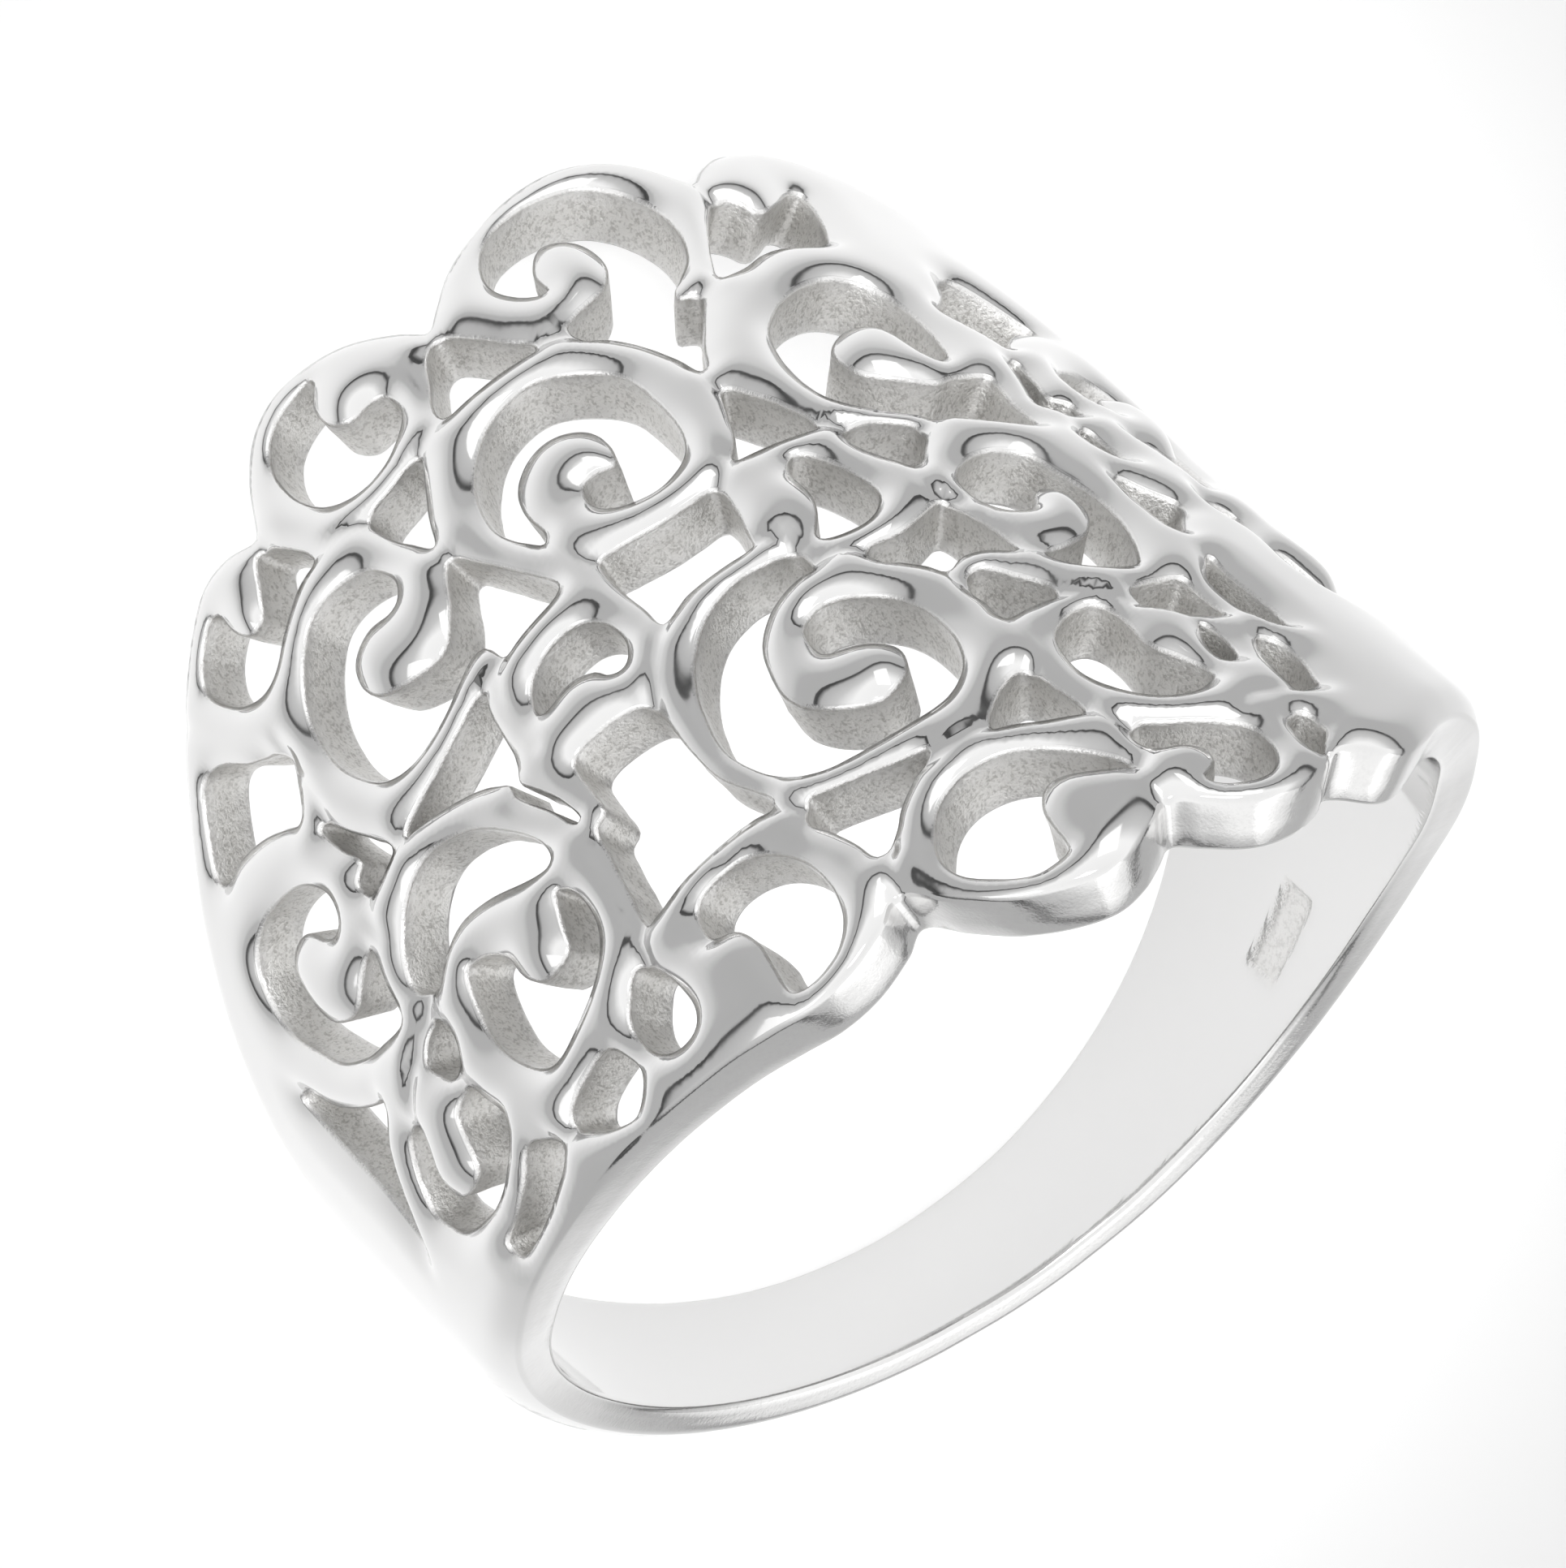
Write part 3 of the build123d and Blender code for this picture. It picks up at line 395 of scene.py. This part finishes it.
def signedField(chart, gridU, gridY):
    # distance to the nearest edge of the metal, positive inside it; rims alone as a second field
    u, girth = chart["u"], chart["girth"]
    overlap = 8      # the rims are carried on this far past the seam
    rim = np.full(gridU.shape, 3.0)
    for points, rightPoints, side in ((nearRim, nearRimRight, 1), (farRim, farRimRight, -1)):
        loop = throughPoints(rightPoints + points, False)
        loop = np.vstack([loop[loop[:, 0] > girth / 2 - overlap] - (girth, 0), loop,
                          loop[loop[:, 0] < overlap - girth / 2] + (girth, 0)])
        loop = loop[np.argsort(loop[:, 0])]
        height = np.interp(gridU, loop[:, 0], loop[:, 1])
        within = np.where(side * (height - gridY) > 0, 1.0, -1.0)
        for first in range(0, len(u), 24):
            # a strip of the grid at a time, against the stretch of rim beside it
            part = slice(first, first + 24)
            close = (loop[:, 0] > u[part][0] - 2.5) & (loop[:, 0] < u[part][-1] + 2.5)
            close = close.nonzero()[0]
            start, end = loop[close[:-1]], loop[close[1:]]
            found = distanceTo(start, end, gridU[part], gridY[part]) * within[part]
            rim[part] = np.minimum(rim[part], found)
    field = rim.copy()
    outlines = list(openings.values()) + list(shoulderOpenings.values())
    outlines += [[(turnOver - a, b) for a, b in points] for points in shoulderOpenings.values()]
    for points in outlines:
        start = throughPoints(points, True)
        end = np.roll(start, -1, 0)
        part = partNear(chart, start, 1.3)
        away = distanceTo(start, end, gridU[part], gridY[part])
        away = np.where(insideOf(start, end, gridU[part], gridY[part]), -away, away)
        field[part] = np.minimum(field[part], away)
    return field, rim


def sampled(chart, grid, us, ys):
    # value of a grid at scattered places, blended from the four nodes round each
    u, y, girth = chart["u"], chart["y"], chart["girth"]
    wrapped = (us - u[0]) % girth + u[0]
    i = np.interp(wrapped, np.append(u, u[0] + girth), np.arange(len(u) + 1))
    j = np.clip((ys - y[0]) / (y[1] - y[0]), 0, len(y) - 1.001)
    i0, j0 = np.floor(i).astype(int), np.floor(j).astype(int)
    fi, fj = i - i0, j - j0
    i1 = (i0 + 1) % len(u)
    i0 = i0 % len(u)
    return ((1 - fi) * (1 - fj) * grid[i0, j0] + fi * (1 - fj) * grid[i1, j0]
            + (1 - fi) * fj * grid[i0, j0 + 1] + fi * fj * grid[i1, j0 + 1])


def ringSheet(chart, field):
    # flat mesh of the metal on the chart: each grid node inside it gets a four-sided face whose
    # corners are the surrounding cells' points, and cells on the edge put theirs on the edge
    u, y, girth = chart["u"], chart["y"], chart["girth"]
    f = field.copy()
    for turn in range(6):
        # where metal touches only across a cell's corners, the cell is filled in
        a, b = f[:, :-1], np.roll(f, -1, 0)[:, :-1]
        c, d = np.roll(f, -1, 0)[:, 1:], f[:, 1:]
        crossed = (((a > 0) & (c > 0) & (b <= 0) & (d <= 0))
                   | ((a <= 0) & (c <= 0) & (b > 0) & (d > 0)))
        if not crossed.any():
            break
        i, j = crossed.nonzero()
        i1 = (i + 1) % len(u)
        for ii, jj in ((i, j), (i1, j), (i1, j + 1), (i, j + 1)):
            f[ii, jj] = np.where(f[ii, jj] <= 0, 1e-4, f[ii, jj])
    a, b = f[:, :-1], np.roll(f, -1, 0)[:, :-1]
    c, d = np.roll(f, -1, 0)[:, 1:], f[:, 1:]
    used = (a > 0) | (b > 0) | (c > 0) | (d > 0)
    edge = used & ~((a > 0) & (b > 0) & (c > 0) & (d > 0))
    uNext = np.append(u[1:], u[0] + girth)
    left, right = np.broadcast_to(u[:, None], a.shape), np.broadcast_to(uNext[:, None], a.shape)
    low, high = np.broadcast_to(y[None, :-1], a.shape), np.broadcast_to(y[None, 1:], a.shape)
    sumU, sumY, hits = np.zeros(a.shape), np.zeros(a.shape), np.zeros(a.shape)
    for fromF, toF, u0, y0, u1, y1 in ((a, b, left, low, right, low), (b, c, right, low, right, high),
                                       (c, d, right, high, left, high), (d, a, left, high, left, low)):
        cut = (fromF > 0) != (toF > 0)
        t = np.where(cut, fromF / np.where(cut, fromF - toF, 1), 0)
        sumU += np.where(cut, u0 + (u1 - u0) * t, 0)
        sumY += np.where(cut, y0 + (y1 - y0) * t, 0)
        hits += cut
    pointU = np.where(edge, sumU / np.maximum(hits, 1), (left + right) / 2)[used]
    pointY = np.where(edge, sumY / np.maximum(hits, 1), (low + high) / 2)[used]
    index = np.full(a.shape, -1)
    index[used] = np.arange(used.sum())
    i, j = (f[:, 1:-1] > 0).nonzero()
    j = j + 1
    back = (i - 1) % len(u)
    quads = np.stack([index[back, j - 1], index[i, j - 1], index[i, j], index[back, j]], 1)
    return pointU, pointY, quads


def netOf(quads, count):
    # how the sheet hangs together: both ends a and b of every edge, how many edges meet at each
    # point, and the border points (on edges of one face only, metal on the left) with the point
    # after and before each, and those two again as places in the border's own list
    a, b = quads.ravel(), np.roll(quads, -1, 1).ravel()
    alone = ~np.isin(a * count + b, b * count + a)
    border, follower = a[alone], b[alone]
    after, before, place = np.full(count, -1), np.full(count, -1), np.full(count, 0)
    after[border] = follower
    before[follower] = border
    place[border] = np.arange(len(border))
    inner = np.ones(count, bool)
    inner[border] = False
    after, before = after[border], before[border]
    return {"count": count, "a": a, "b": b, "inner": inner, "border": border,
            "edges": np.bincount(a, minlength=count) + np.bincount(b, minlength=count),
            "after": after, "before": before, "ahead": place[after], "behind": place[before]}


def pull(change, net):
    # mean of the changes along the edges that meet at each point
    total = np.bincount(net["a"], change, net["count"]) - np.bincount(net["b"], change, net["count"])
    return 0.5 * total / net["edges"]


def evened(values, net):
    # every point part of the way to its neighbours' mean, border points along the border only
    result = values + pull(values[net["b"]] - values[net["a"]], net)
    border = net["border"]
    beside = values[net["after"]] + values[net["before"]]
    result[border] = values[border] + 0.25 * (beside - 2 * values[border])
    return result


def settled(chart, net, field, slopes, pu, py):
    # border points move onto the lip line and space themselves out along it, then the points
    # inside relax towards the middle of their neighbours
    girth, border, after, before = chart["girth"], net["border"], net["after"], net["before"]
    reach = 0.06     # the furthest a point slides at once

    def ontoLip():
        # slide along the slope of the distance field
        away = ring["lip"] - sampled(chart, field, pu[border], py[border])
        gu, gy = (sampled(chart, slope, pu[border], py[border]) for slope in slopes)
        size = np.maximum(gu ** 2 + gy ** 2, 0.2)
        pu[border] += np.clip(away * gu / size, -reach, reach)
        py[border] += np.clip(away * gy / size, -reach, reach)

    for turn in range(8):
        ontoLip()
        pu[border] += 0.25 * (shortWay(pu[after] - pu[border], girth)
                              + shortWay(pu[before] - pu[border], girth))
        py[border] += 0.25 * (py[after] + py[before] - 2 * py[border])
    ontoLip()
    for turn in range(14):
        du = shortWay(pu[net["b"]] - pu[net["a"]], girth)
        dy = py[net["b"]] - py[net["a"]]
        pu = np.where(net["inner"], pu + pull(du, net), pu)
        py = np.where(net["inner"], py + pull(dy, net), py)
    return pu, py


def faceRise(chart, gridU, gridY, field, rim):
    # height of the face over its radius: bars fall away towards their edges, the face falls away
    # towards the rims, scroll ends swell and grooves are cut where scrolls meet
    backness = smoothStep(*ring["backFrom"], np.abs(gridU))
    rimDrop = ring["rimDrop"] + ring["backRimDrop"] * backness
    rimEdge = ring["rimEdge"] + ring["backRimEdge"] * backness
    rise = -ring["barDrop"] * np.clip(1 - field / ring["barEdge"], 0, 1.6) ** 2
    rise += -rimDrop * np.clip(1 - rim / rimEdge, 0, 1.3) ** 2
    rise += ring["backRise"] * backness
    for headU, headY, size in heads:
        awaySq = shortWay(gridU - headU, chart["girth"]) ** 2 + (gridY - headY) ** 2
        rise += ring["headRise"] * np.exp(-awaySq / size ** 2)
    place = np.stack([gridU, gridY, 0 * gridU], -1)
    rise += (1 - backness) * ring["wave"] * latticeNoise(place, ring["waveCell"], 5)
    rise = blurred(rise, 1.1)
    for depth, points in grooves:
        line = throughPoints(points, False)
        part = partNear(chart, line, 0.5)
        away = distanceTo(line[:-1], line[1:], gridU[part], gridY[part])
        rise[part] -= depth * np.exp(-(away / ring["grooveWide"]) ** 2)
    return rise


def wallRows(top, bore, shoulder, foot):
    # rows of points down every wall: how far they stand in from the opening's edge, their
    # radius, how cast they look and how uneven they are
    lip = ring["lip"]
    rows = []
    for turn in (35, 65, 90):
        sine, cosine = math.sin(math.radians(turn)), math.cos(math.radians(turn))
        rows.append((lip * (1 - sine) + 0 * top, top - shoulder * (1 - cosine), turn / 90 * 0.5, 0.2))
    wallTop, wallFoot = top - shoulder, bore + foot
    for share in (0.3, 0.65):
        rows.append((0 * top, wallTop + (wallFoot - wallTop) * share, 1.0, 1.0))
    rows.append((0 * top, wallFoot + 0 * top, 0.8, 0.6))
    rows.append((0.3 * foot, bore + 0.3 * foot, 0.4, 0.2))
    return rows


def ringFaces(net, quads, rowCount):
    # the outside, a strip per row down every wall, and the bore turned to face inwards
    count, border = net["count"], net["border"]
    faces = [quads]
    upA, upB = border, net["after"]
    for row in range(rowCount):
        first = count + row * len(border)
        downA, downB = first + np.arange(len(border)), first + net["ahead"]
        faces.append(np.stack([upB, upA, downA, downB], 1))
        upA, upB = downA, downB
    firstInner = count + rowCount * len(border)
    faces.append(np.stack([upB, upA, firstInner + border, firstInner + net["after"]], 1))
    faces.append(firstInner + quads[:, ::-1])
    return np.vstack(faces)


def faceNormals(chart, net, rise, faceR, pu, py, nu, ny):
    # upright direction of the face from the slope of its height, then of the two lip rows, in
    # the ring's own directions outwards, round and along
    tiltU = sampled(chart, np.gradient(rise, chart["u"], axis=0), pu, py)
    tiltY = sampled(chart, np.gradient(rise, chart["y"], axis=1), pu, py)
    for turn in range(2):
        tiltU, tiltY = evened(tiltU, net), evened(tiltY, net)
    upright = np.stack([np.ones(len(pu)), -tiltU * ring["chartRadius"] / faceR,
                        -tiltY / ring["heightScale"]], 1)
    upright = upright / np.linalg.norm(upright, axis=1, keepdims=True)
    sideways = np.stack([0 * nu, -nu, -ny], 1)
    turns = [math.radians(turn) for turn in (35, 65)]
    lips = [upright[net["border"]] * math.cos(turn) + sideways * math.sin(turn) for turn in turns]
    return [upright] + lips


def leaned(x, across, z):
    # turned about the sideways direction as the ring lies on the floor
    lean = math.radians(ring["lean"])
    return np.stack([x * math.cos(lean) - z * math.sin(lean), across,
                     x * math.sin(lean) + z * math.cos(lean)], 1)


def makeRing():
    chart = buildChart()
    gridU, gridY = np.meshgrid(chart["u"], chart["y"], indexing="ij")
    field, rim = signedField(chart, gridU, gridY)
    slopes = np.gradient(field, chart["u"], axis=0), np.gradient(field, chart["y"], axis=1)
    pu, py, quads = ringSheet(chart, field - ring["lip"])
    count = len(pu)
    net = netOf(quads, count)
    border = net["border"]
    pu, py = settled(chart, net, field, slopes, pu, py)
    print("chart", len(chart["u"]), "by", len(chart["y"]), "faces", len(quads),
          "border points", len(border))

    rise = faceRise(chart, gridU, gridY, field, rim)
    faceR = ring["face"] + sampled(chart, rise, pu, py)
    for turn in range(3):
        # even the height out between neighbouring points, which takes the grid's steps away
        faceR = evened(faceR, net)
    faceR = np.minimum(faceR, ring["limit"])

    # shallow blank recess pressed inside the band, and how far each point is past its edge
    boreR = boreAt(pu / ring["chartRadius"])
    boreBorder = boreR[border]
    recessU = shortWay(pu - recess["u"], chart["girth"])
    recessY = py - recess["y"] - recess["slant"] * recessU
    reach = np.maximum(np.abs(recessU) - recess["long"], np.abs(recessY) - recess["wide"])
    boreR = boreR + recess["deep"] * smoothStep(recess["soft"], -recess["soft"], reach)

    # direction into the metal along the border, evened out along each loop
    nu, ny = (sampled(chart, slope, pu[border], py[border]) for slope in slopes)
    ahead, behind = net["ahead"], net["behind"]
    for turn in range(2):
        nu, ny = nu + 0.5 * (nu[ahead] + nu[behind]), ny + 0.5 * (ny[ahead] + ny[behind])
        size = np.sqrt(nu ** 2 + ny ** 2) + 1e-9
        nu, ny = nu / size, ny / size

    isRim = sampled(chart, rim, pu[border], py[border]) < ring["rimReach"]

    def barOrRim(name):
        return np.where(isRim, ring[name][1], ring[name][0])

    lip, foot = ring["lip"], barOrRim("foot")
    rows = wallRows(faceR[border], boreBorder, barOrRim("shoulder"), foot)
    normals = faceNormals(chart, net, rise, faceR, pu, py, nu, ny)
    faces = ringFaces(net, quads, len(rows))

    allU, allY, allR, allCast = [pu], [py], [faceR], [np.zeros(count)]
    for offset, radius, cast, rough in rows:
        rowU = pu[border] - nu * (lip - offset)
        rowY = py[border] - ny * (lip - offset)
        place = np.stack([rowU, rowY, radius * 0.8], -1)
        coarse, fine = ring["castCells"]
        uneven = latticeNoise(place, coarse, 1) + 0.6 * latticeNoise(place, fine, 2)
        uneven = barOrRim("castShare") * ring["castDepth"] * rough * uneven
        allU.append(rowU + nu * uneven)
        allY.append(rowY + ny * uneven)
        allR.append(radius)
        allCast.append(barOrRim("castLook") * cast)
    allU.append(pu + np.bincount(border, nu * (foot - lip), count))
    allY.append(py + np.bincount(border, ny * (foot - lip), count))
    allR.append(boreR)
    innerCast = recess["cast"] * smoothStep(0.06, -0.04, reach)
    innerCast[border] = 0.1
    allCast.append(innerCast)

    # wrap the chart round the finger axis and lay the ring down
    allU, allY, allR = np.concatenate(allU), np.concatenate(allY), np.concatenate(allR)
    angle = allU / ring["chartRadius"]
    points = leaned(allR * np.cos(angle), allR * np.sin(angle), ring["heightScale"] * allY)
    points = points + ring["shift"]
    # where the far edge would pass the floor it slides back along the finger axis
    low = np.minimum(points[:, 2], 0)
    points[:, 0] += low * math.tan(math.radians(ring["lean"]))
    points[:, 2] -= low
    # points without a direction of their own get a zero, which leaves them the mesh's
    normals = np.vstack(normals + [np.zeros((len(angle) - sum(len(n) for n in normals), 3))])
    out, around, along = normals.T
    normals = leaned(out * np.cos(angle) - around * np.sin(angle),
                     out * np.sin(angle) + around * np.cos(angle), along)
    return points * mm, faces, np.concatenate(allCast), normals


def meshFrom(name, points, faces):
    mesh = bpy.data.meshes.new(name)
    mesh.vertices.add(len(points))
    mesh.vertices.foreach_set("co", points.astype(np.float32).ravel())
    mesh.loops.add(faces.size)
    mesh.loops.foreach_set("vertex_index", faces.astype(np.int32).ravel())
    mesh.polygons.add(len(faces))
    mesh.polygons.foreach_set("loop_start", np.arange(0, faces.size, 4, dtype=np.int32))
    mesh.polygons.foreach_set("loop_total", np.full(len(faces), 4, np.int32))
    mesh.update(calc_edges=True)
    mesh.validate()
    mesh.polygons.foreach_set("use_smooth", np.ones(len(mesh.polygons), bool))
    return addObject(name, mesh)


def addObject(name, data):
    thing = bpy.data.objects.new(name, data)
    bpy.context.collection.objects.link(thing)
    return thing


def addNode(tree, kind, place, inputs=None, **values):
    node = tree.nodes.new(kind)
    node.location = place
    for name, value in values.items():
        setattr(node, name, value)
    for name, value in (inputs or {}).items():
        node.inputs[name].default_value = value
    return node


def addRange(tree, place, source, fromPair, toPair, easing="LINEAR"):
    # map a value from one span to another
    inputs = {"From Min": fromPair[0], "From Max": fromPair[1],
              "To Min": toPair[0], "To Max": toPair[1]}
    node = addNode(tree, "ShaderNodeMapRange", place, inputs, interpolation_type=easing)
    tree.links.new(source, node.inputs["Value"])
    return node.outputs["Result"]


silver = {
    "polished": (0.69, 0.688, 0.686, 1),
    "cast": (0.73, 0.722, 0.705, 1),
    "pit": (0.52, 0.511, 0.495, 1),
    "pitFrom": (0.41, 0.51),         # noise values between which the pits turn into plain casting
    "grain": {"Scale": 19000, "Detail": 4},
    "mottle": {"Scale": 8500, "Detail": 5, "Roughness": 0.65},
    "mottleShare": 0.55,
    "patch": {"Scale": 900, "Detail": 3},
    "patchFrom": (0.35, 0.7),
    "polishedRoughness": (0.05, 0.12),
    "castRoughness": 0.5,
    "bump": {"Strength": 0.7, "Distance": 0.00007},
}


def silverMaterial():
    # polished where the mesh's cast attribute is 0, grainy and dull where it is 1
    material = bpy.data.materials.new("castSilver")
    material.use_nodes = True
    tree = material.node_tree
    shader = tree.nodes["Principled BSDF"]
    shader.inputs["Metallic"].default_value = 1.0
    link = tree.links.new
    where = addNode(tree, "ShaderNodeTexCoord", (-1400, 0))
    cast = addNode(tree, "ShaderNodeAttribute", (-1400, -300), attribute_name="cast").outputs["Fac"]
    grain = addNode(tree, "ShaderNodeTexNoise", (-1100, 200), silver["grain"])
    patch = addNode(tree, "ShaderNodeTexNoise", (-1100, -50), silver["patch"])
    mottle = addNode(tree, "ShaderNodeTexNoise", (-1100, 450), silver["mottle"])
    for node in (grain, mottle, patch):
        link(where.outputs["Object"], node.inputs["Vector"])

    uneven = addNode(tree, "ShaderNodeMix", (-1000, 300), data_type="FLOAT")
    uneven.inputs["Factor"].default_value = silver["mottleShare"]
    link(grain.outputs["Fac"], uneven.inputs[2])
    link(mottle.outputs["Fac"], uneven.inputs[3])
    pits = addNode(tree, "ShaderNodeValToRGB", (-850, 200))
    for stop, place, name in zip(pits.color_ramp.elements, silver["pitFrom"], ("pit", "cast")):
        stop.position = place
        stop.color = silver[name]
    link(uneven.outputs[0], pits.inputs["Fac"])
    colour = addNode(tree, "ShaderNodeMix", (-500, 200), data_type="RGBA")
    colour.inputs[6].default_value = silver["polished"]
    link(pits.outputs["Color"], colour.inputs[7])
    link(cast, colour.inputs["Factor"])
    link(colour.outputs[2], shader.inputs["Base Color"])

    smear = addRange(tree, (-850, -50), patch.outputs["Fac"], silver["patchFrom"],
                     silver["polishedRoughness"])
    rough = addNode(tree, "ShaderNodeMix", (-500, -50), data_type="FLOAT")
    link(cast, rough.inputs["Factor"])
    link(smear, rough.inputs[2])
    rough.inputs[3].default_value = silver["castRoughness"]
    link(rough.outputs[0], shader.inputs["Roughness"])

    height = addNode(tree, "ShaderNodeMath", (-500, -350), operation="MULTIPLY")
    link(uneven.outputs[0], height.inputs[0])
    link(cast, height.inputs[1])
    bump = addNode(tree, "ShaderNodeBump", (-250, -350), silver["bump"])
    link(height.outputs[0], bump.inputs["Height"])
    link(bump.outputs["Normal"], shader.inputs["Normal"])
    return material


points, faces, cast, normals = makeRing()
ringPiece = meshFrom("filigreeRing", points, faces)
ringPiece.data.normals_split_custom_set_from_vertices(normals)
castValues = ringPiece.data.attributes.new("cast", "FLOAT", "POINT").data
castValues.foreach_set("value", cast.astype(np.float32))
ringPiece.data.materials.append(silverMaterial())
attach(ringPiece, "root")
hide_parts("filigree_ring")
print("ring", len(points), "points", 2 * len(faces), "triangles")

# pale floor with painted light: it glows by itself in a soft round patch under the ring, painted light
# where the ring would shade it, and its colour is painted greyer far away, painted shade
table = {
    "half": 2,                       # metres from the middle to each side
    "roughness": 0.6,
    "paintedGlowFrom": (0.005, 0.026),      # distances from the middle between which the patch of painted light fades
    "paintedGlow": (0.60, 0.03),
    "greyFrom": (0.024, 0.045),      # and between which the floor's colour is painted greyer, painted shade
    "grey": (0.62, 0.42),
}
half = table["half"]
floorMesh = bpy.data.meshes.new("floor")
floorMesh.from_pydata([(-half, -half, 0), (half, -half, 0), (half, half, 0), (-half, half, 0)], [],
                      [(0, 1, 2, 3)])
floor = addObject("floor", floorMesh)
floorFinish = bpy.data.materials.new("paleFloor")
floorFinish.use_nodes = True
tree = floorFinish.node_tree
shader = tree.nodes["Principled BSDF"]
shader.inputs["Roughness"].default_value = table["roughness"]
# the floor gives off light of its own though it is no lamp: painted light
shader.inputs["Emission Color"].default_value = (1, 1, 1, 1)
where = addNode(tree, "ShaderNodeTexCoord", (-900, 0))
away = addNode(tree, "ShaderNodeVectorMath", (-700, 0), operation="LENGTH")
tree.links.new(where.outputs["Object"], away.inputs[0])
# the patch of painted light goes into the floor's emission and the painted shade into its colour, both
# by distance from the middle
for name, place, socket in (("paintedGlow", (-500, 0), "Emission Strength"),
                            ("grey", (-500, 300), "Base Color")):
    fade = addRange(tree, place, away.outputs["Value"], table[name + "From"], table[name],
                    "SMOOTHSTEP")
    tree.links.new(fade, shader.inputs[socket])
floorMesh.materials.append(floorFinish)
print("floor laid")

studio = {
    "skyPower": 1.32,
    # height, 0 straight down and 1 straight up, and how bright; a thin dark horizon
    "sky": [(0.0, 0.40), (0.47, 0.36), (0.492, 0.08), (0.525, 0.06), (0.56, 0.48), (0.66, 0.62),
            (0.76, 1.0), (1.0, 0.92)],
    "aim": (0, 0, 0.008),
    "lamps": {              # place, size, power, spread in degrees, all aimed at the ring
        "key": ((0.12, 0.07, 0.30), 0.10, 0.0040, 24),
        "front": ((0.30, -0.16, 0.20), 0.18, 0.08, 180),
        "left": ((0.02, 0.34, 0.20), 0.18, 0.06, 180),
        "behind": ((-0.36, -0.14, 0.15), 0.30, 0.12, 180),
    },
}
world = bpy.data.worlds.new("studio")
bpy.context.scene.world = world
world.use_nodes = True
tree = world.node_tree
background = tree.nodes["Background"]
background.inputs["Strength"].default_value = studio["skyPower"]
direction = addNode(tree, "ShaderNodeTexCoord", (-900, 0))
parts = addNode(tree, "ShaderNodeSeparateXYZ", (-700, 0))
tree.links.new(direction.outputs["Generated"], parts.inputs["Vector"])
upward = addRange(tree, (-500, 0), parts.outputs["Z"], (-1, 1), (0, 1))
sky = addNode(tree, "ShaderNodeValToRGB", (-300, 0))
for place, grey in studio["sky"][1:-1]:
    sky.color_ramp.elements.new(place)
for stop, (place, grey) in zip(sky.color_ramp.elements, studio["sky"]):
    stop.color = (grey, grey, grey, 1)
tree.links.new(upward, sky.inputs["Fac"])
tree.links.new(sky.outputs["Color"], background.inputs["Color"])
for name, (place, size, power, spread) in studio["lamps"].items():
    lamp = bpy.data.lights.new(name, "AREA")
    lamp.size = size
    lamp.energy = power
    lamp.spread = math.radians(spread)
    holder = addObject(name, lamp)
    holder.location = place
    holder.rotation_euler = (Vector(studio["aim"]) - Vector(place)).to_track_quat("-Z", "Y").to_euler()
print("studio lit")

view = {"place": (0.078038, 0.071629, 0.22828), "turn": (-9.6239, -23.5533, -114.2505),
        "lens": 335.75, "sensor": 36, "nearest": 0.01}
camera = bpy.data.cameras.new("camera")
camera.lens = view["lens"]
camera.sensor_width = view["sensor"]
camera.clip_start = view["nearest"]
cameraHolder = addObject("camera", camera)
cameraHolder.location = view["place"]
cameraHolder.rotation_euler = [math.radians(angle) for angle in view["turn"]]
bpy.context.scene.camera = cameraHolder
bpy.context.scene.view_settings.view_transform = "Standard"
